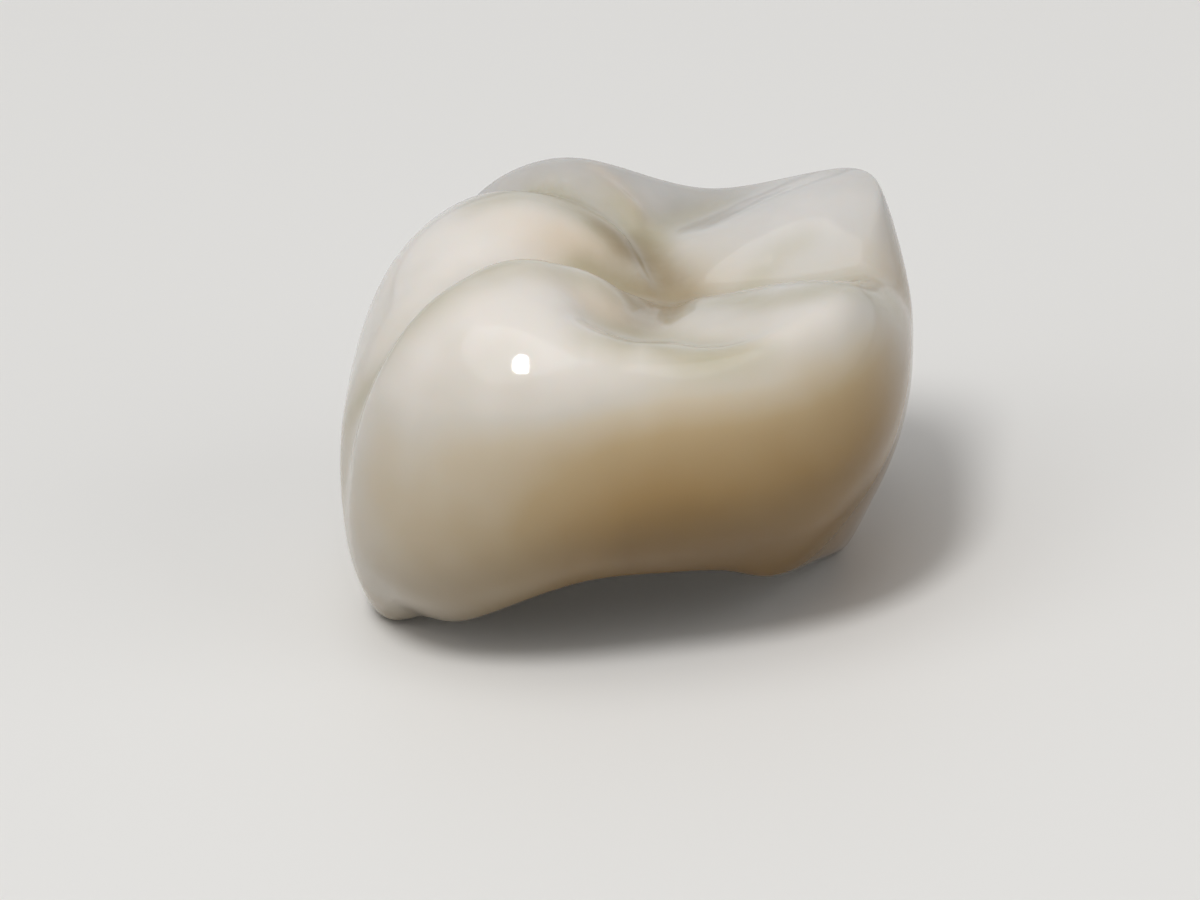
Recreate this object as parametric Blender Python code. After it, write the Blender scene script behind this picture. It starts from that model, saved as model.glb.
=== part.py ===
"""Full-contour ceramic crown for a lower first molar, standing on its margin.

The crown is one fired piece. Its outside is lofted through three rings that a technician
would wax first: the scalloped margin, the height of contour and the crest that joins the cusp
tips. The chewing surface dips from the crest to the central pit. Ridges are then raised and
grooves pressed in along paths that lie on that surface, so they follow it when a size changes.
The inside is the tapered seat for the prepared tooth, drawn inwards from the margin.

-X is buccal (cheek), +X lingual (tongue), -Y mesial, +Y distal, +Z occlusal.
"""

import math

import bmesh
import bpy
import numpy as np
from mathutils import Matrix

MM = 0.001

# Main sizes: cheek to tongue, front to back of the mouth, and margin to cusp tips.
WIDTH = 10.6
LENGTH = 10.6
HEIGHT = 7.0


def mark(across, along, up):
    """A landmark, given as shares of the width and length from the middle and of the height."""
    return across * WIDTH, along * LENGTH, up * HEIGHT


# Crest: cusp tips, the notches where grooves cross it, and the two marginal ridges.
MB_TIP = mark(-0.226, -0.222, 0.993)
MB_NOTCH = mark(-0.245, -0.094, 0.960)
DB_TIP = mark(-0.226, 0.090, 0.993)
DB_NOTCH = mark(-0.149, 0.245, 0.977)
D_TIP = mark(-0.075, 0.330, 0.983)
DISTAL_RIDGE = mark(0.179, 0.410, 0.817)
DL_TIP = mark(0.455, 0.208, 0.914)
LINGUAL_NOTCH = mark(0.406, 0.014, 0.809)
ML_TIP = mark(0.377, -0.203, 0.880)
MESIAL_RIDGE = mark(0.094, -0.387, 0.851)
CREST = (
    MB_TIP, MB_NOTCH, DB_TIP, DB_NOTCH, D_TIP,
    DISTAL_RIDGE, DL_TIP, LINGUAL_NOTCH, ML_TIP, MESIAL_RIDGE,
)

# Low places of the chewing surface: the central pit, and the fossae beside it in plan.
PIT = mark(0.090, 0.000, 0.803)
MESIAL_FOSSA = (0.028 * WIDTH, -0.231 * LENGTH)
DISTAL_FOSSA = (0.052 * WIDTH, 0.156 * LENGTH)

# Size of the grooves and of the ridges between them, at a share of 1 in the paths below.
GROOVE_HALF_WIDTH = 0.38
GROOVE_DEPTH = 0.32
RIDGE_HALF_WIDTH = 0.90
RIDGE_RISE = 0.24

# How sharply strokes take over from each other where they meet: higher keeps the deeper one.
GROOVE_JOIN = 4
RIDGE_JOIN = 3

# Height of contour: the widest ring of the wall.
CONTOUR = (
    mark(-0.500, -0.019, 0.371),
    mark(-0.425, -0.368, 0.471),
    mark(0.009, -0.491, 0.557),
    mark(0.377, -0.363, 0.600),
    mark(0.494, 0.019, 0.614),
    mark(0.448, 0.325, 0.600),
    mark(0.057, 0.505, 0.571),
    mark(-0.354, 0.382, 0.486),
)

# Margin: down to the stand on the buccal and lingual sides, arched mesially and distally.
MARGIN = (
    mark(-0.470, 0.019, -0.017),
    mark(-0.464, -0.066, -0.003),
    mark(-0.440, -0.134, 0.007),
    mark(-0.390, -0.194, 0.050),
    mark(-0.337, -0.264, 0.074),
    mark(-0.258, -0.332, 0.136),
    mark(-0.101, -0.377, 0.229),
    mark(0.038, -0.373, 0.231),
    mark(0.157, -0.330, 0.190),
    mark(0.208, -0.294, 0.147),
    mark(0.286, -0.208, 0.119),
    mark(0.325, -0.113, 0.074),
    mark(0.343, -0.038, 0.037),
    mark(0.349, 0.057, -0.017),
    mark(0.335, 0.165, 0.006),
    mark(0.269, 0.292, 0.157),
    mark(0.057, 0.382, 0.314),
    mark(-0.189, 0.349, 0.207),
    mark(-0.406, 0.222, 0.043),
)

# How late the wall turns in towards the margin on each side.
TURN_IN_BUCCAL = 3.0
TURN_IN_LINGUAL = 1.8
TURN_IN_PROXIMAL = 2.3

# Seat for the prepared tooth.
RIM_WIDTH = 0.30
CHAMFER_DEPTH = 0.40
CHAMFER_RISE = 0.50
SEAT_TAPER = math.radians(4)
SEAT_CORNER = 0.40
OCCLUSAL_THICKNESS = 0.95

# Mesh counts.
TABLE_CELLS = 40
CREST_RINGS = 9
FOOT_RINGS = 8
CHAMFER_RINGS = 2
SEAT_WALL_RINGS = 2
SEAT_CORNER_RINGS = 3
PATH_POINTS = 60


def closed_spline(angles, values):
    """A smooth periodic curve through (angle, value) pairs: a cubic spline with no seam."""
    order = np.argsort(angles)
    knots = np.asarray(angles, float)[order]
    heights = np.asarray(values, float)[order]
    count = len(knots)
    gaps = np.diff(np.append(knots, knots[0] + math.tau))
    rises = (np.roll(heights, -1) - heights) / gaps
    system = np.zeros((count, count))
    for i in range(count):
        before = gaps[i - 1]
        system[i, i - 1] += before
        system[i, i] += 2 * (before + gaps[i])
        system[i, (i + 1) % count] += gaps[i]
    bends = np.linalg.solve(system, 6 * (rises - np.roll(rises, 1)))

    def value(angle):
        turned = (np.asarray(angle, float) - knots[0]) % math.tau
        i = np.clip(np.searchsorted(knots - knots[0], turned, side="right") - 1, 0, count - 1)
        j = (i + 1) % count
        gap = gaps[i]
        t = turned - (knots[i] - knots[0])
        rest = gap - t
        return (
            bends[i] * rest**3 / (6 * gap)
            + bends[j] * t**3 / (6 * gap)
            + (heights[i] / gap - bends[i] * gap / 6) * rest
            + (heights[j] / gap - bends[j] * gap / 6) * t
        )

    return value


def bearing(point, centre):
    """Angle of a point around a centre, seen from above."""
    return math.atan2(point[1] - centre[1], point[0] - centre[0]) % math.tau


class Ring:
    """A closed curve around the crown that passes smoothly through its landmarks."""

    def __init__(self, landmarks, centre=None):
        if centre is None:
            low = np.min(landmarks, axis=0)
            high = np.max(landmarks, axis=0)
            centre = (low + high) / 2
        self.centre = np.array(centre[:2])
        angles = [bearing(mark, centre) for mark in landmarks]
        reaches = [math.hypot(mark[0] - centre[0], mark[1] - centre[1]) for mark in landmarks]
        self.reach = closed_spline(angles, reaches)
        self.height = closed_spline(angles, [mark[2] for mark in landmarks])

    def plan(self, angle, inset=0.0):
        heading = np.stack([np.cos(angle), np.sin(angle)], axis=-1)
        return self.centre + (self.reach(angle) - inset)[..., None] * heading


crest_ring = Ring(CREST, PIT)
contour_ring = Ring(CONTOUR)
margin_ring = Ring(MARGIN)


def margin_height(angle):
    """The margin follows its landmarks, and is flat where it stands."""
    return np.maximum(margin_ring.height(angle), 0)


def by_side(angle, buccal, lingual, proximal):
    """One value on the buccal side, one on the lingual, and one on the two sides between."""
    across = np.where(np.cos(angle) < 0, buccal, lingual)
    return across * np.cos(angle) ** 2 + proximal * np.sin(angle) ** 2


def surface(angle, level):
    """Points of the outside: level 0 is the central pit, 1 the crest, 2 the contour, 3 the margin."""
    angle = np.asarray(angle, float)
    level = np.asarray(level, float)
    crest = crest_ring.plan(angle)
    contour = contour_ring.plan(angle)
    margin = margin_ring.plan(angle)
    top = crest_ring.height(angle)
    waist = contour_ring.height(angle)
    foot = margin_height(angle)

    inward = np.clip(level, 0, 1)
    plan = crest_ring.centre + inward[..., None] * (crest - crest_ring.centre)
    height = PIT[2] + (top - PIT[2]) * np.sin(math.pi / 2 * inward) ** 2

    over = np.clip(level - 1, 0, 1) * math.pi / 2
    plan = plan + np.sin(over)[..., None] * (contour - crest)
    height = height - (1 - np.cos(over)) * (top - waist)

    down = np.clip(level - 2, 0, 1)
    turn_in = by_side(angle, TURN_IN_BUCCAL, TURN_IN_LINGUAL, TURN_IN_PROXIMAL)
    plan = plan + (down**turn_in)[..., None] * (margin - contour)
    height = height - down * (waist - foot)
    return np.concatenate([plan, height[..., None]], axis=-1)


def on_table(place):
    """(angle, level) of a place on the chewing surface, given by its plan position."""
    angle = bearing(place, PIT)
    away = math.hypot(place[0] - PIT[0], place[1] - PIT[1])
    return angle, away / float(crest_ring.reach(angle))


def between(degrees, share):
    """(angle, level) of a place on the chewing surface: a bearing, and a share of the way out."""
    return math.radians(degrees), share


def below(landmark, level, turn=0.0):
    """(angle, level) of a place on the wall under a crest landmark, turned on by some degrees."""
    return bearing(landmark, PIT) + math.radians(turn), level


def grooves():
    """Paths of the grooves: (place, share of the half width, share of the depth) along each one."""
    mesiobuccal = (
        (on_table(PIT), 1.05, 1.00),
        (between(-179, 0.31), 1.00, 1.05),
        (between(-176, 0.59), 1.05, 0.92),
        (on_table(MB_NOTCH), 1.15, 0.80),
        (below(MB_NOTCH, 1.24, 7), 1.20, 0.82),
        (below(MB_NOTCH, 1.50, 9), 1.20, 0.80),
        (below(MB_NOTCH, 1.80, 7), 1.20, 0.60),
        (below(MB_NOTCH, 2.30, 3), 1.20, 0.00),
    )
    distobuccal = (
        (on_table(PIT), 1.05, 1.00),
        (on_table(DISTAL_FOSSA), 1.00, 1.05),
        (between(120, 0.70), 0.90, 1.00),
        (on_table(DB_NOTCH), 0.85, 0.80),
        (below(DB_NOTCH, 1.40), 1.00, 0.60),
        (below(DB_NOTCH, 1.85), 1.30, 0.00),
    )
    distal = (
        (on_table(DISTAL_FOSSA), 1.00, 0.80),
        (between(91, 0.61), 0.95, 0.75),
        (between(83, 0.71), 0.85, 0.62),
        (between(75, 0.86), 0.85, 0.38),
        (between(70, 0.98), 0.95, 0.00),
    )
    distal_branch = (
        (between(92, 0.65), 0.80, 0.50),
        (between(101, 0.79), 0.75, 0.38),
        (between(109, 0.93), 0.80, 0.00),
    )
    lingual = (
        (on_table(PIT), 1.05, 1.00),
        (between(0, 0.38), 1.90, 0.85),
        (between(-1, 0.67), 1.80, 0.75),
        (on_table(LINGUAL_NOTCH), 1.30, 0.55),
        (below(LINGUAL_NOTCH, 1.30), 1.20, 0.36),
        (below(LINGUAL_NOTCH, 1.90), 1.30, 0.00),
    )
    lingual_branch = (
        (between(2, 0.37), 0.80, 0.50),
        (between(15, 0.52), 0.75, 0.32),
        (between(18, 0.68), 0.80, 0.22),
        (between(17, 0.81), 0.80, 0.00),
    )
    mesial = (
        (on_table(PIT), 1.05, 1.00),
        (between(-106, 0.30), 1.05, 0.88),
        (on_table(MESIAL_FOSSA), 1.55, 0.92),
        (between(-122, 0.66), 1.65, 0.62),
        (between(-140, 0.60), 1.05, 0.20),
        (between(-150, 0.55), 1.05, 0.00),
    )
    mesial_basin = (
        (between(-125, 0.75), 2.10, 0.00),
        (between(-117, 0.74), 2.20, 0.95),
        (between(-101, 0.68), 2.20, 1.12),
        (between(-87, 0.76), 1.60, 0.30),
        (between(-79, 0.83), 1.60, 0.00),
    )
    mesiolingual = (
        (on_table(MESIAL_FOSSA), 1.20, 0.70),
        (between(-90, 0.73), 0.90, 0.70),
        (between(-79, 0.87), 0.85, 0.56),
        (between(-59, 0.97), 1.00, 0.00),
    )
    return (
        mesiobuccal, distobuccal, distal, distal_branch, lingual,
        lingual_branch, mesial, mesial_basin, mesiolingual,
    )


def ridges():
    """Paths of the ridges that run from the cusps towards the middle, in the same form."""
    mesiobuccal = (
        (on_table(MB_TIP), 1.00, 0.00),
        (between(-146, 0.76), 0.95, 0.90),
        (between(-143, 0.47), 0.72, 0.90),
        (between(-137, 0.28), 0.50, 0.00),
    )
    distobuccal = (
        (on_table(DB_TIP), 1.10, 0.00),
        (between(156, 0.77), 1.00, 0.75),
        (between(143, 0.47), 0.72, 0.85),
        (between(125, 0.26), 0.45, 0.00),
    )
    distolingual = (
        (on_table(DL_TIP), 1.20, 0.00),
        (between(40, 0.65), 1.28, 0.95),
        (between(54, 0.45), 1.17, 1.10),
        (between(76, 0.36), 0.67, 0.75),
        (between(88, 0.34), 0.50, 0.00),
    )
    mesiolingual = (
        (on_table(ML_TIP), 0.90, 0.00),
        (between(-45, 0.75), 0.83, 0.20),
        (between(-63, 0.57), 0.72, 0.15),
        (between(-83, 0.51), 0.55, 0.20),
        (between(-94, 0.50), 0.50, 0.00),
    )
    mesiobuccal_lobe = (
        (below(MB_TIP, 1.05, 24), 1.20, 0.00),
        (below(MB_TIP, 1.30, 28), 1.25, 0.45),
        (below(MB_TIP, 1.70, 28), 1.30, 0.45),
        (below(MB_TIP, 2.30, 26), 1.40, 0.00),
    )
    return mesiobuccal, distobuccal, distolingual, mesiolingual, mesiobuccal_lobe


def open_spline(points, steps):
    """Even steps along a smooth curve through the points (Catmull-Rom), one row per step."""
    points = np.asarray(points, float)
    ends = np.concatenate([2 * points[:1] - points[1:2], points, 2 * points[-1:] - points[-2:-1]])
    at = np.linspace(0, len(points) - 1, steps)
    i = np.minimum(at.astype(int), len(points) - 2)
    t = (at - i)[:, None]
    a, b, c, d = ends[i], ends[i + 1], ends[i + 2], ends[i + 3]
    return 0.5 * (
        2 * b + (c - a) * t + (2 * a - 5 * b + 4 * c - d) * t**2 + (3 * b - a - 3 * c + d) * t**3
    )


def stroke_effect(points, path, half_width, depth):
    """How far a groove or ridge moves each point: most on its path, fading out to both sides."""
    places = [surface(*place) for place, _, _ in path]
    sizes = [(half_width * wide, depth * deep) for _, wide, deep in path]
    rows = open_spline(np.hstack([places, sizes]), PATH_POINTS)
    start, end = rows[:-1, :3], rows[1:, :3]
    run = end - start
    offset = points[:, None, :] - start[None]
    t = np.clip((offset * run).sum(-1) / (run * run).sum(-1), 0, 1)
    away = np.linalg.norm(offset - t[..., None] * run, axis=-1)
    nearest = np.argmin(away, axis=1)
    each = np.arange(len(points))
    share = t[each, nearest]
    here = rows[nearest, 3:] * (1 - share[:, None]) + rows[nearest + 1, 3:] * share[:, None]
    return np.maximum(here[:, 1], 0) * np.exp(-((away[each, nearest] / here[:, 0]) ** 2))


def joined(effects, sharpness):
    """Joins strokes so that they merge where they meet and don't add up."""
    return np.sum(np.asarray(effects) ** sharpness, axis=0) ** (1 / sharpness)


def box_grid():
    """An open box divided into the crown's grid: its lid becomes the table, its sides the wall."""
    bm = bmesh.new()
    bmesh.ops.create_cube(bm, size=2)
    floor = [face for face in bm.faces if face.normal.z < -0.5]
    bmesh.ops.delete(bm, geom=floor, context="FACES_ONLY")
    wall_rings = CREST_RINGS + FOOT_RINGS
    for axis, cells in ((2, wall_rings), (0, TABLE_CELLS), (1, TABLE_CELLS)):
        along = [
            edge for edge in bm.edges
            if abs(edge.verts[0].co[axis] - edge.verts[1].co[axis]) > edge.calc_length() / 2
        ]
        bmesh.ops.subdivide_edges(bm, edges=along, cuts=cells - 1, use_grid_fill=True)
    return bm


def box_parameters(points):
    """(angle, level) of box points: concentric squares of the lid become rings of the table."""
    u, v, w = points.T
    reach = np.maximum(np.abs(u), np.abs(v))
    safe = np.where(reach > 0, reach, 1)
    sideways = np.abs(u) >= np.abs(v)
    quarter = math.pi / 4
    angle = np.where(
        sideways,
        quarter * v / safe * np.sign(u) + np.where(u < 0, math.pi, 0),
        math.pi / 2 * np.sign(v) - quarter * u / safe * np.sign(v),
    )
    ring = (1 - w) / 2 * (CREST_RINGS + FOOT_RINGS)
    wall_level = np.interp(ring, (0, CREST_RINGS, CREST_RINGS + FOOT_RINGS), (1, 2, 3))
    level = np.where(ring < 0.5, reach, wall_level)
    return angle % math.tau, level


def move_to(verts, points):
    for vertex, point in zip(verts, points):
        vertex.co = point


def shape_outside(bm, bearings):
    """Moves the box onto the crown's outside and carves it; returns the height of its lowest pit."""
    angle, level = box_parameters(np.array([vertex.co for vertex in bm.verts]))
    for vertex, value in zip(bm.verts, angle):
        vertex[bearings] = value
    smooth = surface(angle, level)
    move_to(bm.verts, smooth)
    bmesh.ops.recalc_face_normals(bm, faces=bm.faces)
    bm.normal_update()
    normals = np.array([vertex.normal for vertex in bm.verts])
    raised = joined(
        [stroke_effect(smooth, path, RIDGE_HALF_WIDTH, RIDGE_RISE) for path in ridges()],
        RIDGE_JOIN,
    )
    lowered = joined(
        [stroke_effect(smooth, path, GROOVE_HALF_WIDTH, GROOVE_DEPTH) for path in grooves()],
        GROOVE_JOIN,
    )
    carved = smooth + (raised - lowered)[:, None] * normals
    move_to(bm.verts, carved)
    return carved[level < 1, 2].min()


def seat_rings(ceiling):
    """(inset, height) functions of the rings that line the seat, from the margin's rim upwards."""
    rings = [lambda foot: (RIM_WIDTH, foot)]
    for step in range(1, CHAMFER_RINGS + 1):
        turn = math.pi / 2 * step / CHAMFER_RINGS
        inset = RIM_WIDTH + CHAMFER_DEPTH * math.sin(turn)
        rise = CHAMFER_RISE * (1 - math.cos(turn))
        rings.append(lambda foot, inset=inset, rise=rise: (inset, foot + rise))

    def wall(share):
        def ring(foot):
            start = foot + CHAMFER_RISE
            climb = share * (ceiling - SEAT_CORNER - start)
            return RIM_WIDTH + CHAMFER_DEPTH + climb * math.tan(SEAT_TAPER), start + climb

        return ring

    rings += [wall(step / SEAT_WALL_RINGS) for step in range(1, SEAT_WALL_RINGS + 1)]
    for step in range(1, SEAT_CORNER_RINGS + 1):
        turn = math.pi / 2 * step / SEAT_CORNER_RINGS

        def corner(foot, turn=turn):
            inset, height = wall(1)(foot)
            return (
                inset + SEAT_CORNER * (1 - math.cos(turn)),
                height + SEAT_CORNER * math.sin(turn),
            )

        rings.append(corner)
    return rings


def line_seat(bm, bearings, ceiling):
    """Draws the open edge of the margin inwards and up, ring by ring, and closes the ceiling."""
    edges = [edge for edge in bm.edges if edge.is_boundary]
    for ring in seat_rings(ceiling):
        drawn = bmesh.ops.extrude_edge_only(bm, edges=edges)["geom"]
        edges = [item for item in drawn if isinstance(item, bmesh.types.BMEdge)]
        edges = [edge for edge in edges if edge.is_boundary]
        verts = [item for item in drawn if isinstance(item, bmesh.types.BMVert)]
        angle = np.array([vertex[bearings] for vertex in verts])
        foot = margin_height(angle)
        inset, height = ring(foot)
        plan = margin_ring.plan(angle, inset)
        move_to(verts, np.column_stack([plan, np.broadcast_to(height, len(verts))]))
    bmesh.ops.edgeloop_fill(bm, edges=edges)


def centred(bm):
    """Sets the middle of the crown's footprint over the origin."""
    points = np.array([vertex.co for vertex in bm.verts])
    middle = (points.min(axis=0) + points.max(axis=0)) / 2
    bmesh.ops.translate(bm, vec=(-middle[0], -middle[1], 0), verts=bm.verts)


def porcelain():
    material = bpy.data.materials.new("dental_porcelain")
    material.use_nodes = True
    shader = material.node_tree.nodes["Principled BSDF"]
    shader.inputs["Base Color"].default_value = (0.72, 0.66, 0.56, 1)
    shader.inputs["Roughness"].default_value = 0.15
    return material


def build_crown():
    bm = box_grid()
    bearings = bm.verts.layers.float.new("bearing")
    deepest = shape_outside(bm, bearings)
    line_seat(bm, bearings, deepest - OCCLUSAL_THICKNESS)
    bmesh.ops.recalc_face_normals(bm, faces=bm.faces)
    bm.verts.layers.float.remove(bearings)
    centred(bm)
    bmesh.ops.transform(bm, matrix=Matrix.Scale(MM, 4), verts=bm.verts)
    for face in bm.faces:
        face.smooth = True
    mesh = bpy.data.meshes.new("crown")
    bm.to_mesh(mesh)
    bm.free()
    mesh.materials.append(porcelain())
    return bpy.data.objects.new("crown", mesh)


def main():
    for old in list(bpy.data.objects):
        bpy.data.objects.remove(old, do_unlink=True)
    collection = bpy.data.collections.new("molar_crown")
    bpy.context.scene.collection.children.link(collection)
    collection.objects.link(build_crown())


main()
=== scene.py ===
import math

import bpy
import numpy as np
from mathutils import Matrix, Vector
from mathutils.bvhtree import BVHTree


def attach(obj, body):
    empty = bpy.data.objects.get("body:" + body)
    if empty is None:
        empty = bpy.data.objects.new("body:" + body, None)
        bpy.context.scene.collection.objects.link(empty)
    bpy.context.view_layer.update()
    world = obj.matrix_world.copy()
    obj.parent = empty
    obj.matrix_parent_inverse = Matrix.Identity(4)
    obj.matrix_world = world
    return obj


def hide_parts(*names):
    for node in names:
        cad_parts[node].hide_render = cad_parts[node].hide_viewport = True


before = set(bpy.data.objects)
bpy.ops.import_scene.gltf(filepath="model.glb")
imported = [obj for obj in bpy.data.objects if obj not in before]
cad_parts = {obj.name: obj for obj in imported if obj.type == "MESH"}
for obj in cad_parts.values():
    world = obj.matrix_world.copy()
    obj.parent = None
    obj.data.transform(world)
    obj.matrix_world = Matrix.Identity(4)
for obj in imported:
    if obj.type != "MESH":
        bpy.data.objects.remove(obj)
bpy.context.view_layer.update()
print("frame loaded:", ", ".join(sorted(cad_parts)))

mm = 0.001


# General helpers

def useOnly(obj):
    bpy.ops.object.select_all(action="DESELECT")
    obj.select_set(True)
    bpy.context.view_layer.objects.active = obj


def applyModifiers(obj):
    useOnly(obj)
    for name in [modifier.name for modifier in obj.modifiers]:
        bpy.ops.object.modifier_apply(modifier=name)


def softStep(low, high, value):
    share = np.clip((np.asarray(value, float) - low) / (high - low), 0, 1)
    return share * share * (3 - 2 * share)


def readPoints(mesh):
    points = np.empty(len(mesh.vertices) * 3)
    mesh.vertices.foreach_get("co", points)
    return points.reshape(-1, 3)


def readNormals(mesh):
    normals = np.empty(len(mesh.vertices) * 3)
    mesh.vertices.foreach_get("normal", normals)
    return normals.reshape(-1, 3)


def writeAttribute(mesh, name, values):
    attribute = mesh.attributes.get(name) or mesh.attributes.new(name, "FLOAT", "POINT")
    attribute.data.foreach_set("value", np.asarray(values, np.float32))


def weightGroup(obj, name, weights, least=0.002):
    group = obj.vertex_groups.new(name=name)
    for index in np.flatnonzero(weights > least):
        group.add([int(index)], float(min(weights[index], 1)), "REPLACE")


# Camera: a long lens, a little above the crown, tipped as the photograph is

cameraSettings = {
    "metresPerPixel": 0.01817e-3,    # on the crown, in a frame of 1200 x 900
    "elevation": math.radians(22.5),
    "tip": math.radians(4.57),       # the crown's up leans to the left
    "lens": 300,
    "sensor": 36,
    "frameSize": (1200, 900),
    "clip": (0.01, 10),
    "heldPoint": (-4.438 * mm, -1.2025 * mm, 0),   # where the buccal margin stands
    "heldPixel": (400, 618),
}


def addCamera(settings):
    data = bpy.data.cameras.new("camera")
    data.lens = settings["lens"]
    data.sensor_width = settings["sensor"]
    data.clip_start, data.clip_end = settings["clip"]
    camera = bpy.data.objects.new("camera", data)
    bpy.context.scene.collection.objects.link(camera)
    elevation, tip = settings["elevation"], settings["tip"]
    forward = Vector((0, math.cos(elevation), -math.sin(elevation)))
    level = Vector((1, 0, 0))
    rise = Vector((0, math.sin(elevation), math.cos(elevation)))
    right = level * math.cos(tip) - rise * math.sin(tip)
    up = level * math.sin(tip) + rise * math.cos(tip)
    scale = settings["metresPerPixel"]
    width, height = settings["frameSize"]
    pixelX, pixelY = settings["heldPixel"]
    centre = Vector(settings["heldPoint"])
    centre += right * (width / 2 - pixelX) * scale + up * (pixelY - height / 2) * scale
    distance = width * settings["lens"] / settings["sensor"] * scale
    place = Matrix((right, up, -forward)).transposed().to_4x4()
    place.translation = centre - forward * distance
    camera.matrix_world = place
    bpy.context.scene.camera = camera
    print("camera placed at", round(distance * 1000), "mm")


addCamera(cameraSettings)


# The crown: the imported solid's surface, smoothed, with eased grooves, the places of its stains
# and its painted shade

crownShape = {
    "mergeWithin": 1e-6,
    "quadAngle": math.radians(60),
    "levels": 2,
    "seatWallFacing": (0.10, 0.40),   # how far inwards a wall of the seat faces
    "seatWallTilt": (0.15, 0.0),      # how far upwards it may face
    "ceilingFacing": -0.5,
    "ceilingAbove": 3.5,              # mm over the stand, between the rim and the seat's ceiling
    "valleyRounds": 90,               # rounds of averaging that give a point's surroundings
    # painted shade in the grooves, darker with their depth, is full at the next depth
    "fullGrooveShade": 0.12,               # mm below its surroundings where a groove counts as full
    "strokeSteps": 90,
    "strokeReach": 3,                 # half widths past which a stroke has faded
    "leastStepSquared": 1e-18,        # so that a stroke may stand still
    "pointsAtOnce": 4000,
    "rimSectors": 180,
    "polishedOver": (0.25, 0.9),      # mm over the rim, so that the margin keeps its edge
    "polish": 0.5,
    "polishRounds": 25,
    "easedDepths": (0.01, 0.08),      # mm below its surroundings where a groove is eased
    "easedAbove": 3.0,                # mm over the stand
    "easing": 0.5,
    "easingRounds": 80,
    "waveSize": 1.9 * mm,
    "waviness": 0.006 * mm,
    # how the tan over the margin fades into the pale chewing third, with lengths in mm: partly the
    # crown's own tan, partly painted shade
    "tan": {
        "heights": (2.0, 3.2, 3.6, 4.56, 4.75, 5.4, 5.75, 6.1, 6.6),
        "near": (1.0, 0.88, 0.80, 0.57, 0.50, 0.20, 0.12, 0.05, 0.0),
        "away": (0.88, 0.69, 0.62, 0.44, 0.40, 0.24, 0.16, 0.08, 0.0),
        "nearToAway": (0.5, 3.5),         # y
        # painted light: the cheek side, where the key lamp falls, is kept paler
        "fromCheek": (-5.3, -4.5, -3.5, -2.4, -1.3, -0.2, 0.6),
        "cheekShares": (0.20, 0.25, 0.33, 0.50, 0.78, 0.97, 1.0),
        # painted shade: the tan climbs higher on the tongue side, away from the key lamp
        "lift": 0.5,                      # how much higher the tan climbs on the tongue side
        "liftedAcross": (3.6, 5.0),       # x
    },
    # where the enamel is greyer, and darker as painted shade: on the far cusps, and in part on the
    # tongue-side ones, turned from the key lamp
    "greyerAndShaded": {
        "far": (0.5, 4.0),                # y
        "tongueSide": (0.5, 3.0),         # x
        "tongueSideFrom": (-4.0, -1.5),   # y
        "tongueSideShare": 0.80,
        "upwards": (3.3, 6.1),            # z
    },
    # painted shade: darker on the far side of the chewing surface, less so to the tongue
    "paintedFarShade": {
        "far": (1.4, 2.9),                # y
        "towardsTongue": (1.8, 3.6),      # x
        "thinnedBy": 0.75,
        "upwards": (4.9, 5.7),            # z
    },
}

# Stains brushed on under the glaze, in rows of x, y, z, half width (all in mm) and strength
brownStains = {
    "distal pit": [
        (-0.10, 1.20, 6.30, 0.30, 0.25), (0.13, 1.01, 6.09, 0.38, 0.65),
        (0.33, 1.06, 5.85, 0.42, 0.95), (0.53, 1.17, 5.55, 0.45, 0.95),
        (0.76, 0.82, 5.40, 0.50, 0.80), (1.03, 0.34, 5.34, 0.55, 0.75),
        (1.15, -0.10, 5.27, 0.55, 0.60),
    ],
    "buccal slope": [
        (-0.49, 0.25, 5.92, 0.45, 0.30), (0.05, 0.25, 5.70, 0.50, 0.50),
        (0.50, 0.15, 5.40, 0.50, 0.60),
    ],
    "distal shoulder": [
        (-1.20, 1.70, 6.82, 0.40, 0.00), (-0.85, 1.60, 6.70, 0.42, 0.15),
        (-0.50, 1.44, 6.54, 0.42, 0.35), (-0.25, 1.21, 6.39, 0.42, 0.60),
        (-0.04, 1.09, 6.24, 0.42, 0.75), (0.12, 1.00, 6.08, 0.42, 0.75),
    ],
    "distal wall": [
        (0.30, 2.07, 5.95, 0.34, 0.00), (0.39, 1.95, 5.83, 0.40, 0.40),
        (0.46, 1.80, 5.75, 0.42, 0.60), (0.56, 1.60, 5.66, 0.42, 0.55),
        (0.65, 1.35, 5.60, 0.42, 0.30),
    ],
    "central pit": [
        (0.04, -1.58, 5.98, 0.50, 0.25), (0.45, -0.95, 5.60, 0.55, 0.65),
        (0.86, -0.56, 5.35, 0.55, 0.80), (1.16, -0.70, 5.45, 0.50, 0.50),
    ],
    "mesial fossa": [
        (-0.65, -2.75, 6.23, 0.45, 0.10), (-0.39, -2.63, 6.00, 0.50, 0.20),
        (0.00, -2.45, 5.79, 0.55, 0.35), (0.42, -1.95, 5.61, 0.55, 0.55),
        (0.74, -1.17, 5.46, 0.55, 0.65),
    ],
}

# Greenish tint along the grooves, and painted shade on the backs of the ridges beside them (the
# shoulder rows), in rows of x, y, z, half width (all in mm) and strength
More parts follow.
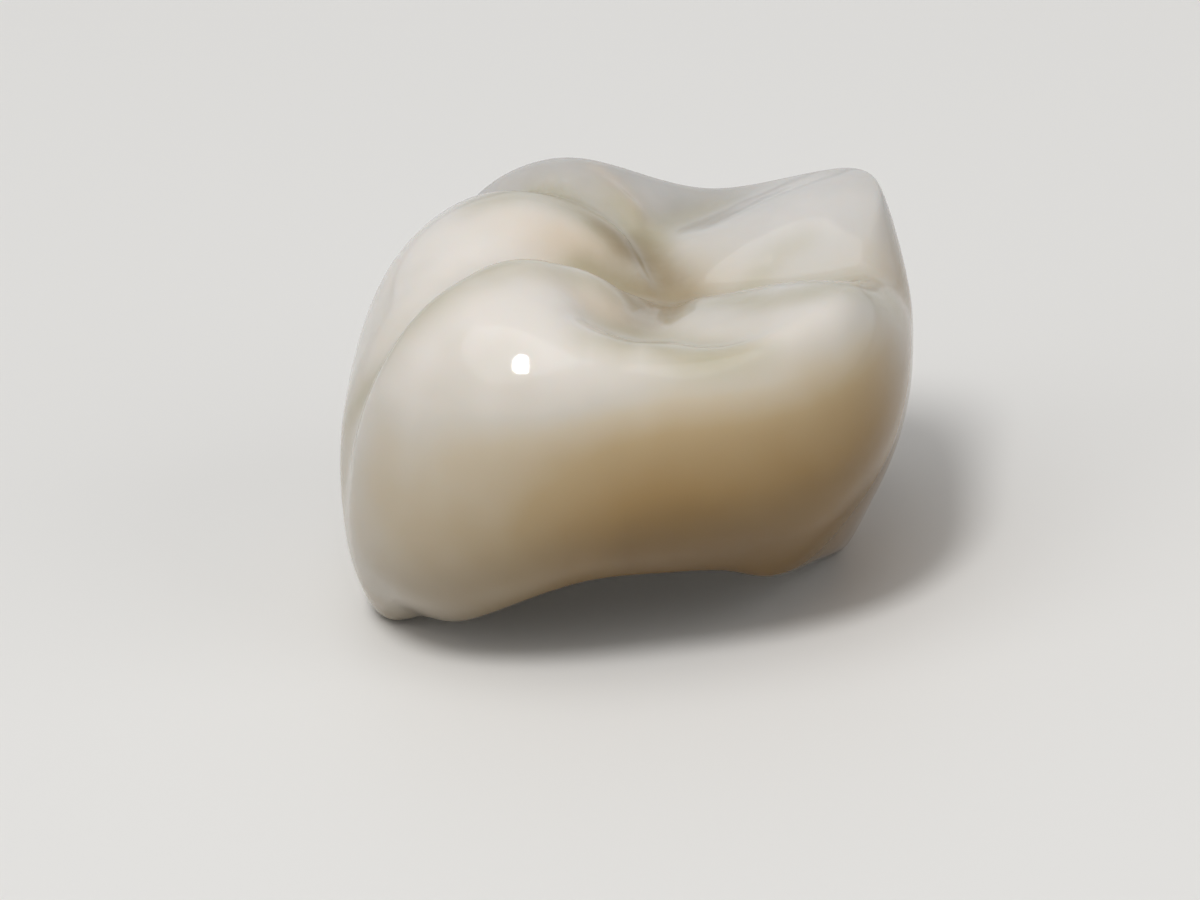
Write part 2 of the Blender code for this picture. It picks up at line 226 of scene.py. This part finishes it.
greenTintsAndShade = {
    "buccal": [
        (-5.18, -1.53, 3.71, 0.24, 0.00), (-4.98, -1.75, 4.27, 0.28, 0.50),
        (-4.42, -2.35, 5.33, 0.32, 0.75), (-3.78, -2.60, 6.27, 0.34, 0.80),
        (-3.21, -2.50, 6.69, 0.36, 0.80), (-2.62, -2.15, 6.90, 0.36, 0.80),
        (-2.10, -1.90, 6.99, 0.36, 0.80), (-1.55, -1.50, 6.90, 0.38, 0.80),
        (-1.05, -0.85, 6.55, 0.40, 0.80), (-0.60, 0.05, 6.02, 0.40, 0.80),
        (-0.15, 0.15, 5.70, 0.40, 0.75), (0.20, 0.10, 5.50, 0.40, 0.60),
    ],
    "distobuccal": [
        (-2.50, 1.50, 6.95, 0.34, 0.50), (-1.95, 1.85, 6.93, 0.38, 0.75),
        (-1.40, 2.35, 6.72, 0.40, 0.85), (-0.90, 2.20, 6.60, 0.42, 0.90),
        (-0.48, 1.72, 6.52, 0.42, 0.90), (-0.17, 1.32, 6.35, 0.42, 0.90),
        (0.06, 1.11, 6.17, 0.40, 0.80), (0.20, 1.05, 6.00, 0.40, 0.50),
    ],
    "lingual": [
        (1.30, -0.40, 5.45, 0.34, 0.50), (2.24, -0.45, 5.48, 0.36, 0.55),
        (3.40, -0.20, 5.45, 0.36, 0.40), (4.40, -0.20, 5.48, 0.42, 0.45),
        (5.00, -0.30, 4.90, 0.44, 0.00),
    ],
    "buccal shoulder": [
        (-4.07, -2.98, 5.89, 0.36, 0.15), (-3.58, -2.98, 6.39, 0.38, 0.25),
        (-2.65, -2.74, 6.88, 0.40, 0.30), (-2.19, -2.52, 6.97, 0.42, 0.40),
        (-1.65, -2.24, 6.98, 0.42, 0.50), (-1.21, -1.96, 6.84, 0.42, 0.60),
        (-0.86, -1.73, 6.62, 0.42, 0.70), (-0.51, -1.58, 6.43, 0.42, 0.70),
        (-0.25, -1.48, 6.26, 0.42, 0.65), (-0.02, -1.31, 6.05, 0.40, 0.55),
        (0.22, -1.08, 5.79, 0.40, 0.35),
    ],
    "distobuccal shoulder": [
        (-2.58, 1.02, 6.92, 0.42, 0.30), (-2.02, 1.39, 6.99, 0.48, 0.65),
        (-1.56, 1.60, 6.92, 0.54, 0.80), (-1.20, 1.60, 6.82, 0.56, 0.85),
        (-0.85, 1.50, 6.70, 0.56, 0.85), (-0.50, 1.34, 6.54, 0.54, 0.85),
        (-0.25, 1.15, 6.39, 0.50, 0.80), (-0.04, 1.05, 6.24, 0.46, 0.65),
        (0.12, 1.00, 6.08, 0.42, 0.50),
    ],
    "lingual shoulder": [
        (1.42, -1.37, 5.72, 0.42, 0.50), (1.78, -1.53, 5.81, 0.44, 0.80),
        (2.16, -1.83, 5.94, 0.46, 0.95), (2.57, -2.38, 6.08, 0.48, 0.80),
        (2.93, -2.45, 6.16, 0.50, 0.75), (3.29, -2.46, 6.20, 0.50, 0.75),
        (3.66, -2.24, 6.20, 0.50, 0.75), (4.02, -2.11, 6.14, 0.50, 0.75),
        (4.38, -1.79, 5.90, 0.50, 0.75), (4.75, -1.15, 5.46, 0.50, 0.70),
        (5.02, -0.81, 5.07, 0.48, 0.50), (5.15, -0.70, 4.50, 0.46, 0.00),
    ],
    "mesial shoulder": [
        (-0.59, -4.08, 6.32, 0.44, 0.50), (-0.16, -4.04, 6.19, 0.50, 0.80),
        (0.29, -3.80, 6.00, 0.50, 0.80), (0.63, -4.00, 6.01, 0.50, 0.80),
        (0.97, -4.20, 5.95, 0.50, 0.85), (1.32, -4.32, 5.89, 0.50, 0.90),
        (1.76, -4.32, 5.86, 0.50, 0.80), (2.30, -4.25, 5.86, 0.46, 0.50),
        (2.92, -4.06, 5.86, 0.40, 0.00),
    ],
    "distolingual": [
        (2.30, -0.10, 5.45, 0.30, 0.50), (2.65, 0.35, 5.56, 0.28, 0.45),
        (2.96, 0.55, 5.78, 0.30, 0.40), (3.44, 0.75, 5.97, 0.30, 0.35),
        (3.92, 0.98, 6.14, 0.30, 0.00),
    ],
    "distal wall": [
        (-0.05, 2.60, 6.43, 0.42, 0.45), (0.10, 2.35, 6.20, 0.45, 0.65),
        (0.24, 2.20, 6.04, 0.46, 0.75), (0.34, 2.07, 5.95, 0.46, 0.80),
        (0.42, 1.95, 5.83, 0.46, 0.80), (0.52, 1.79, 5.73, 0.44, 0.70),
        (0.64, 1.59, 5.63, 0.42, 0.40),
    ],
    "distal ridge": [
        (0.24, 2.49, 6.24, 0.36, 0.30), (0.41, 2.40, 6.07, 0.38, 0.50),
        (0.57, 2.26, 5.85, 0.38, 0.50), (0.73, 1.99, 5.71, 0.38, 0.40),
    ],
    "distal": [
        (0.64, 2.05, 5.71, 0.36, 0.50), (0.91, 2.51, 5.68, 0.34, 0.45),
        (1.34, 3.13, 5.60, 0.34, 0.40), (1.68, 3.48, 5.58, 0.34, 0.35),
        (2.14, 3.66, 5.63, 0.34, 0.25), (2.61, 3.70, 5.80, 0.34, 0.00),
    ],
    "mesial ridge": [
        (-0.60, -2.95, 6.15, 0.35, 0.30), (-0.15, -2.75, 5.85, 0.38, 0.65),
        (0.45, -2.60, 5.65, 0.38, 0.65), (0.95, -3.05, 5.70, 0.40, 0.65),
        (1.40, -3.60, 5.80, 0.40, 0.60), (1.95, -3.95, 5.92, 0.38, 0.40),
        (2.60, -3.90, 5.98, 0.30, 0.00),
    ],
}

warmTints = {
    "distobuccal slope": [
        (-1.80, 0.50, 6.75, 0.60, 0.35), (-1.20, 0.40, 6.50, 0.70, 0.80),
        (-0.55, 0.50, 6.30, 0.65, 0.90), (-0.10, 0.70, 6.15, 0.50, 0.70),
    ],
    "mesiobuccal slope": [
        (-1.10, -2.20, 6.65, 0.50, 0.30), (-0.63, -2.25, 6.31, 0.60, 0.75),
        (-0.20, -1.90, 6.00, 0.60, 0.80), (-0.10, -1.20, 6.00, 0.50, 0.60),
    ],
    "distal cusp": [
        (-0.16, 3.28, 6.65, 0.32, 0.60), (0.15, 3.05, 6.42, 0.34, 0.80),
        (0.42, 2.65, 6.15, 0.34, 0.80), (0.60, 2.35, 5.85, 0.34, 0.60),
    ],
}


# 1 inside the seat: its walls face the crown's own axis, and its ceiling faces down
def seatShare(points, normals, settings):
    middle = (points.min(0) + points.max(0)) / 2
    away = points[:, :2] - middle[:2]
    away /= np.linalg.norm(away, axis=1)[:, None]
    inward = -(normals[:, :2] * away).sum(1)
    upward = normals[:, 2]
    walls = softStep(*settings["seatWallFacing"], inward)
    walls *= softStep(*settings["seatWallTilt"], upward)
    high = points[:, 2] > settings["ceilingAbove"] * mm
    return np.maximum(walls, (upward < settings["ceilingFacing"]) & high)


# How far each point lies below its smoothed surroundings, in mm
def valleyDepths(mesh, points, normals, rounds):
    ends = np.empty(len(mesh.edges) * 2, np.int32)
    mesh.edges.foreach_get("vertices", ends)
    count = np.bincount(ends, minlength=len(points))
    one, other = ends.reshape(-1, 2).T
    smooth = points.copy()
    for _ in range(rounds):
        mean = np.empty_like(smooth)
        for axis in range(3):
            column = smooth[:, axis]
            total = np.bincount(one, column[other], len(points))
            total += np.bincount(other, column[one], len(points))
            mean[:, axis] = total / count
        smooth = mean
    return ((smooth - points) * normals).sum(1) / mm


# Even steps along a smooth curve through the rows
def smoothRows(rows, steps):
    rows = np.asarray(rows, float)
    ends = np.concatenate([2 * rows[:1] - rows[1:2], rows, 2 * rows[-1:] - rows[-2:-1]])
    at = np.linspace(0, len(rows) - 1, steps)
    i = np.minimum(at.astype(int), len(rows) - 2)
    t = (at - i)[:, None]
    a, b, c, d = ends[i], ends[i + 1], ends[i + 2], ends[i + 3]
    bend = (2 * a - 5 * b + 4 * c - d) * t**2 + (3 * b - a - 3 * c + d) * t**3
    return 0.5 * (2 * b + (c - a) * t + bend)


# A soft stroke along the line: at its full strength on it, fading over its half width
def strokeWeights(points, line, widths, strengths, settings):
    weights = np.zeros(len(points))
    margin = settings["strokeReach"] * widths.max()
    inside = (points > line.min(0) - margin) & (points < line.max(0) + margin)
    near = np.flatnonzero(inside.all(1))
    start, run = line[:-1], line[1:] - line[:-1]
    lengthSquared = np.maximum((run * run).sum(1), settings["leastStepSquared"])
    for block in np.array_split(near, max(1, len(near) // settings["pointsAtOnce"])):
        offset = points[block][:, None, :] - start[None]
        share = np.clip((offset * run).sum(-1) / lengthSquared, 0, 1)
        away = np.linalg.norm(offset - share[..., None] * run, axis=-1)
        best = away.argmin(1)
        each = np.arange(len(block))
        part = share[each, best]
        width = widths[best] * (1 - part) + widths[best + 1] * part
        strength = strengths[best] * (1 - part) + strengths[best + 1] * part
        weights[block] = np.clip(strength, 0, None) * np.exp(-((away[each, best] / width) ** 2))
    return weights


# Strokes laid on the surface, one over another: each covers a share of what is still bare
def brushed(points, tree, strokes, settings):
    bare = np.ones(len(points))
    for rows in strokes.values():
        fine = smoothRows(rows, settings["strokeSteps"])
        line = np.array([tree.find_nearest(Vector(place))[0] for place in fine[:, :3] * mm])
        bare *= 1 - strokeWeights(points, line, fine[:, 3] * mm, fine[:, 4], settings)
    return 1 - bare


# 0 on the pale chewing third, 1 in the warm tan above the margin, a tan that is partly the crown's
# own colour and partly painted shade. The cheek side stays pale as painted light from the key lamp,
# the tan climbs higher on the tongue side as painted shade, and it fades more evenly on the far
# walls
def tanAndPaintedShade(points, fade):
    x, y, z = points.T / mm
    across = np.interp(x, fade["fromCheek"], fade["cheekShares"])
    height = z - fade["lift"] * softStep(*fade["liftedAcross"], x)
    near = np.interp(height, fade["heights"], fade["near"])
    away = np.interp(height, fade["heights"], fade["away"])
    return across * (near + (away - near) * softStep(*fade["nearToAway"], y))


# Greyer enamel, darkened as painted shade where it turns from the key lamp
def greyEnamelAndShade(points, places):
    x, y, z = points.T / mm
    far = softStep(*places["far"], y)
    tongueSide = places["tongueSideShare"] * softStep(*places["tongueSide"], x)
    tongueSide *= softStep(*places["tongueSideFrom"], y)
    return (1 - (1 - far) * (1 - tongueSide)) * softStep(*places["upwards"], z)


# Painted shade on the far side of the chewing surface, thinned towards the tongue
def farPaintedShade(points, places):
    x, y, z = points.T / mm
    thinned = 1 - places["thinnedBy"] * softStep(*places["towardsTongue"], x)
    return softStep(*places["far"], y) * thinned * softStep(*places["upwards"], z)


# Height of each point over the lowest point in its own direction, in mm
def rimHeights(points, sectors):
    middle = (points.min(0) + points.max(0)) / 2
    turn = np.arctan2(points[:, 1] - middle[1], points[:, 0] - middle[0])
    sector = ((turn / (2 * math.pi) + 0.5) * sectors).astype(int) % sectors
    lowest = np.full(sectors, np.inf)
    np.minimum.at(lowest, sector, points[:, 2])
    return (points[:, 2] - lowest[sector]) / mm


def buildCrown(settings):
    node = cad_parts["crown"]
    mesh = node.data.copy()
    mesh.materials.clear()
    crown = bpy.data.objects.new("glazed_crown", mesh)
    bpy.context.scene.collection.objects.link(crown)
    useOnly(crown)
    bpy.ops.object.mode_set(mode="EDIT")
    bpy.ops.mesh.select_all(action="SELECT")
    bpy.ops.mesh.remove_doubles(threshold=settings["mergeWithin"])
    bpy.ops.mesh.tris_convert_to_quads(
        face_threshold=settings["quadAngle"], shape_threshold=settings["quadAngle"])
    bpy.ops.mesh.select_all(action="DESELECT")
    bpy.ops.object.mode_set(mode="OBJECT")
    smoothing = crown.modifiers.new("smoothing", "SUBSURF")
    smoothing.levels = smoothing.render_levels = settings["levels"]
    applyModifiers(crown)
    mesh = crown.data
    points, normals = readPoints(mesh), readNormals(mesh)
    seat = seatShare(points, normals, settings)
    inSeat = int((seat > 0.5).sum())
    print("crown smoothed:", len(mesh.polygons), "faces,", inSeat, "points in the seat")

    depths = valleyDepths(mesh, points, normals, settings["valleyRounds"])
    faces = [tuple(face.vertices) for face in mesh.polygons]
    tree = BVHTree.FromPolygons([Vector(point) for point in points], faces)
    writeAttribute(mesh, "seat", seat)
    writeAttribute(mesh, "brown", brushed(points, tree, brownStains, settings))
    # groove tint with painted shade on the ridge shoulders
    writeAttribute(mesh, "greenTintAndShade", brushed(points, tree, greenTintsAndShade, settings))
    writeAttribute(mesh, "warm", brushed(points, tree, warmTints, settings))
    # painted shade in the grooves, darker the deeper they lie
    writeAttribute(mesh, "grooveShade", np.clip(depths / settings["fullGrooveShade"], 0, 1))
    # the crown's own tan with painted shade, darkest at the margin and on the tongue side
    writeAttribute(mesh, "tanAndShade", tanAndPaintedShade(points, settings["tan"]))
    # greyer enamel with painted shade
    writeAttribute(mesh, "greyAndShade", greyEnamelAndShade(points, settings["greyerAndShaded"]))
    # painted shade on the far side
    writeAttribute(mesh, "farShade", farPaintedShade(points, settings["paintedFarShade"]))
    print("stains brushed on in", len(brownStains) + len(greenTintsAndShade) + len(warmTints), "strokes")

    inGroove = softStep(*settings["easedDepths"], depths)
    inGroove *= (1 - seat) * (points[:, 2] > settings["easedAbove"] * mm)
    overRim = softStep(*settings["polishedOver"], rimHeights(points, settings["rimSectors"]))
    weightGroup(crown, "polished", (1 - seat) * overRim)
    weightGroup(crown, "grooves", inGroove)
    weightGroup(crown, "outside", 1 - seat)
    polish = crown.modifiers.new("polish", "SMOOTH")
    polish.vertex_group = "polished"
    polish.factor = settings["polish"]
    polish.iterations = settings["polishRounds"]
    eased = crown.modifiers.new("eased grooves", "SMOOTH")
    eased.vertex_group = "grooves"
    eased.factor = settings["easing"]
    eased.iterations = settings["easingRounds"]
    waves = bpy.data.textures.new("waves", "CLOUDS")
    waves.noise_scale = settings["waveSize"]
    waves.noise_depth = 1
    wavy = crown.modifiers.new("waves", "DISPLACE")
    wavy.texture = waves
    wavy.texture_coords = "LOCAL"
    wavy.vertex_group = "outside"
    wavy.mid_level = 0.5
    wavy.strength = settings["waviness"]
    applyModifiers(crown)
    crown.vertex_groups.clear()
    bpy.ops.object.shade_smooth()
    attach(crown, "root")
    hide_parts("crown")
    return crown


# Glazed porcelain

# greenish groove tint, also laid as painted shade in and beside the grooves
grooveTintAndShade = (0.41, 0.365, 0.225, 1)

porcelainLook = {
    # the tan darkens to a deep brown at the margin, partly the crown's own tan and partly painted
    # shade
    "tanAndShadeStops": [
        (0.00, (0.745, 0.700, 0.645, 1)),
        (0.13, (0.615, 0.570, 0.495, 1)),
        (0.25, (0.580, 0.495, 0.365, 1)),
        (0.50, (0.480, 0.355, 0.190, 1)),
        (0.80, (0.380, 0.240, 0.085, 1)),
        (1.00, (0.270, 0.150, 0.030, 1)),
    ],
    # laid over the body in this order: attribute, colour, strength
    "layers": [
        # greyer enamel with painted shade on the far and tongue sides
        ("greyAndShade", (0.56, 0.55, 0.54, 1), 0.85),
        # painted shade on the far side
        ("farShade", (0.35, 0.33, 0.30, 1), 0.55),
        ("warm", (0.66, 0.54, 0.40, 1), 0.80),
        # painted shade in the grooves
        ("grooveShade", grooveTintAndShade, 0.18),
        # groove tint with painted shade on the ridge shoulders
        ("greenTintAndShade", grooveTintAndShade, 0.80),
        ("brown", (0.22, 0.145, 0.042, 1), 0.90),
    ],
    "seat": (0.66, 0.60, 0.49, 1),
    "noiseRange": (0.3, 0.7),
    "clouds": {"perMetre": 430, "detail": 2},
    "cloudShift": (-0.05, 0.05),       # of the body's tone
    "patches": {"perMetre": 1900, "detail": 3},
    "patchStrength": (0.82, 1.0),      # of the layers
    "grain": {"perMetre": 16000, "detail": 3, "rough": 0.6},
    "grainDepth": 0.012 * mm,
    "grainStrength": 0.8,              # in the seat, which isn't glazed
    "glazeRoughness": 0.08,
    "seatRoughness": 0.55,
    "refraction": 1.52,
    "subsurface": 0.25,
    "subsurfaceReach": 0.6 * mm,
    "subsurfaceRadius": (1.0, 0.62, 0.38),
}


def addNode(tree, kind, values=None, **settings):
    node = tree.nodes.new(kind)
    for name, value in settings.items():
        setattr(node, name, value)
    for name, value in (values or {}).items():
        node.inputs[name].default_value = value
    return node


def attributeValue(tree, name):
    return addNode(tree, "ShaderNodeAttribute", attribute_name=name).outputs["Fac"]


def mixColours(tree, share, first, second):
    mix = addNode(tree, "ShaderNodeMix", data_type="RGBA")
    for socket, value in ((0, share), (6, first), (7, second)):
        if isinstance(value, bpy.types.NodeSocket):
            tree.links.new(value, mix.inputs[socket])
        else:
            mix.inputs[socket].default_value = value
    return mix.outputs[2]


def mathNode(tree, operation, first, second):
    node = addNode(tree, "ShaderNodeMath", operation=operation)
    for socket, value in ((0, first), (1, second)):
        if isinstance(value, bpy.types.NodeSocket):
            tree.links.new(value, node.inputs[socket])
        else:
            node.inputs[socket].default_value = value
    return node.outputs[0]


def noiseValue(tree, place, perMetre, detail, rough=0.5):
    node = addNode(tree, "ShaderNodeTexNoise", {
        "Scale": perMetre, "Detail": detail, "Roughness": rough})
    tree.links.new(place, node.inputs["Vector"])
    return node.outputs["Fac"]


def remapped(tree, value, fromLow, fromHigh, toLow, toHigh):
    node = addNode(tree, "ShaderNodeMapRange", {
        "From Min": fromLow, "From Max": fromHigh, "To Min": toLow, "To Max": toHigh})
    tree.links.new(value, node.inputs["Value"])
    return node.outputs["Result"]


# Lays one colour over another by an attribute, thinned here and there by the given value
def brushOver(tree, body, name, strength, colour, patches):
    share = mathNode(tree, "MULTIPLY", attributeValue(tree, name), strength)
    return mixColours(tree, mathNode(tree, "MULTIPLY", share, patches), body, colour)


def glazedPorcelain(look):
    material = bpy.data.materials.new("glazed_porcelain")
    material.use_nodes = True
    tree = material.node_tree
    shader = tree.nodes["Principled BSDF"]
    place = addNode(tree, "ShaderNodeTexCoord").outputs["Object"]

    noiseRange = look["noiseRange"]
    cloudy = noiseValue(tree, place, **look["clouds"])
    patchy = noiseValue(tree, place, **look["patches"])
    patches = remapped(tree, patchy, *noiseRange, *look["patchStrength"])
    ramp = addNode(tree, "ShaderNodeValToRGB")
    for index, (position, colour) in enumerate(look["tanAndShadeStops"]):
        stops = ramp.color_ramp.elements
        stop = stops[index] if index < 2 else stops.new(position)
        stop.position, stop.color = position, colour
    toneShift = remapped(tree, cloudy, *noiseRange, *look["cloudShift"])
    tanAndShade = mathNode(tree, "ADD", attributeValue(tree, "tanAndShade"), toneShift)
    tree.links.new(tanAndShade, ramp.inputs["Fac"])
    body = ramp.outputs["Color"]
    for name, colour, strength in look["layers"]:
        body = brushOver(tree, body, name, strength, colour, patches)
    seat = attributeValue(tree, "seat")
    body = mixColours(tree, seat, body, look["seat"])
    tree.links.new(body, shader.inputs["Base Color"])

    roughness = remapped(tree, seat, 0, 1, look["glazeRoughness"], look["seatRoughness"])
    tree.links.new(roughness, shader.inputs["Roughness"])
    shader.inputs["IOR"].default_value = look["refraction"]
    shader.inputs["Subsurface Weight"].default_value = look["subsurface"]
    shader.inputs["Subsurface Radius"].default_value = look["subsurfaceRadius"]
    shader.inputs["Subsurface Scale"].default_value = look["subsurfaceReach"]

    grain = noiseValue(tree, place, **look["grain"])
    sanded = addNode(tree, "ShaderNodeBump", {"Distance": look["grainDepth"]})
    sandedShare = mathNode(tree, "MULTIPLY", seat, look["grainStrength"])
    tree.links.new(sandedShare, sanded.inputs["Strength"])
    tree.links.new(grain, sanded.inputs["Height"])
    tree.links.new(sanded.outputs["Normal"], shader.inputs["Normal"])
    return material


crown = buildCrown(crownShape)
crown.data.materials.append(glazedPorcelain(porcelainLook))
print("crown glazed")


# Floor, lamps and air

studio = {
    "floorSize": 2.0,
    "floor": (0.80, 0.79, 0.77, 1),
    "floorBounce": (0.32, 0.31, 0.30, 1),
    "floorRoughness": 0.6,
    "world": (0.80, 0.80, 0.80, 1),
    "worldStrength": 0.28,
    "lampDistance": 0.5,
}

# The way from the crown to each lamp, its width and height seen from there in degrees, its share
# of the light, and whether the glaze mirrors it
lamps = {
    "key": {
        "towards": (-0.20, -0.463, 0.86), "size": (12, 20), "light": 0.42, "mirrored": True},
    "overhead": {
        "towards": (-0.25, -0.25, 0.93), "size": (60, 60), "light": 0.32, "mirrored": True},
    "fill": {
        "towards": (-0.85, -0.45, 0.35), "size": (50, 50), "light": 0.14, "mirrored": False},
    "tongueSide": {
        "towards": (0.80, -0.50, 0.40), "size": (50, 50), "light": 0.23, "mirrored": False},
}


# 1 for what the camera, a mirror or glass sees, 0 for the light that a surface throws back
def seenShare(tree):
    path = addNode(tree, "ShaderNodeLightPath")
    seen = mathNode(tree, "MAXIMUM", path.outputs["Is Camera Ray"], path.outputs["Is Glossy Ray"])
    return mathNode(tree, "MAXIMUM", seen, path.outputs["Is Transmission Ray"])


# The floor can be seen through from below, so that it never hides the underside
def addFloor(settings):
    bpy.ops.object.select_all(action="DESELECT")
    bpy.ops.mesh.primitive_plane_add(size=settings["floorSize"], location=(0, 0, 0))
    floor = bpy.context.active_object
    floor.name = "floor"
    material = bpy.data.materials.new("floor")
    material.use_nodes = True
    tree = material.node_tree
    shader = tree.nodes["Principled BSDF"]
    colour = mixColours(tree, seenShare(tree), settings["floorBounce"], settings["floor"])
    tree.links.new(colour, shader.inputs["Base Color"])
    shader.inputs["Roughness"].default_value = settings["floorRoughness"]
    below = addNode(tree, "ShaderNodeNewGeometry").outputs["Backfacing"]
    sides = addNode(tree, "ShaderNodeMixShader")
    tree.links.new(below, sides.inputs["Fac"])
    tree.links.new(shader.outputs["BSDF"], sides.inputs[1])
    tree.links.new(addNode(tree, "ShaderNodeBsdfTransparent").outputs["BSDF"], sides.inputs[2])
    tree.links.new(sides.outputs["Shader"], tree.nodes["Material Output"].inputs["Surface"])
    floor.data.materials.append(material)


def addWorld(settings):
    world = bpy.data.worlds.new("studio")
    bpy.context.scene.world = world
    world.use_nodes = True
    tree = world.node_tree
    background = tree.nodes["Background"]
    background.inputs["Color"].default_value = settings["world"]
    strength = remapped(tree, seenShare(tree), 0, 1, settings["worldStrength"], 1)
    tree.links.new(strength, background.inputs["Strength"])


def addLamp(name, lamp, distance):
    towards = Vector(lamp["towards"]).normalized()
    data = bpy.data.lights.new(name, "AREA")
    data.shape = "ELLIPSE"
    width, height = lamp["size"]
    data.size = 2 * distance * math.tan(math.radians(width / 2))
    data.size_y = 2 * distance * math.tan(math.radians(height / 2))
    # a white card that faces the lamp sends back this share of full white
    data.energy = lamp["light"] * math.pi**2 * distance**2
    obj = bpy.data.objects.new(name, data)
    obj.location = towards * distance
    obj.rotation_euler = (-towards).to_track_quat("-Z", "Y").to_euler()
    obj.visible_glossy = lamp["mirrored"]
    bpy.context.scene.collection.objects.link(obj)


addFloor(studio)
addWorld(studio)
for name, lamp in lamps.items():
    addLamp(name, lamp, studio["lampDistance"])
bpy.context.scene.view_settings.view_transform = "Standard"
print("studio lit by", ", ".join(lamps))
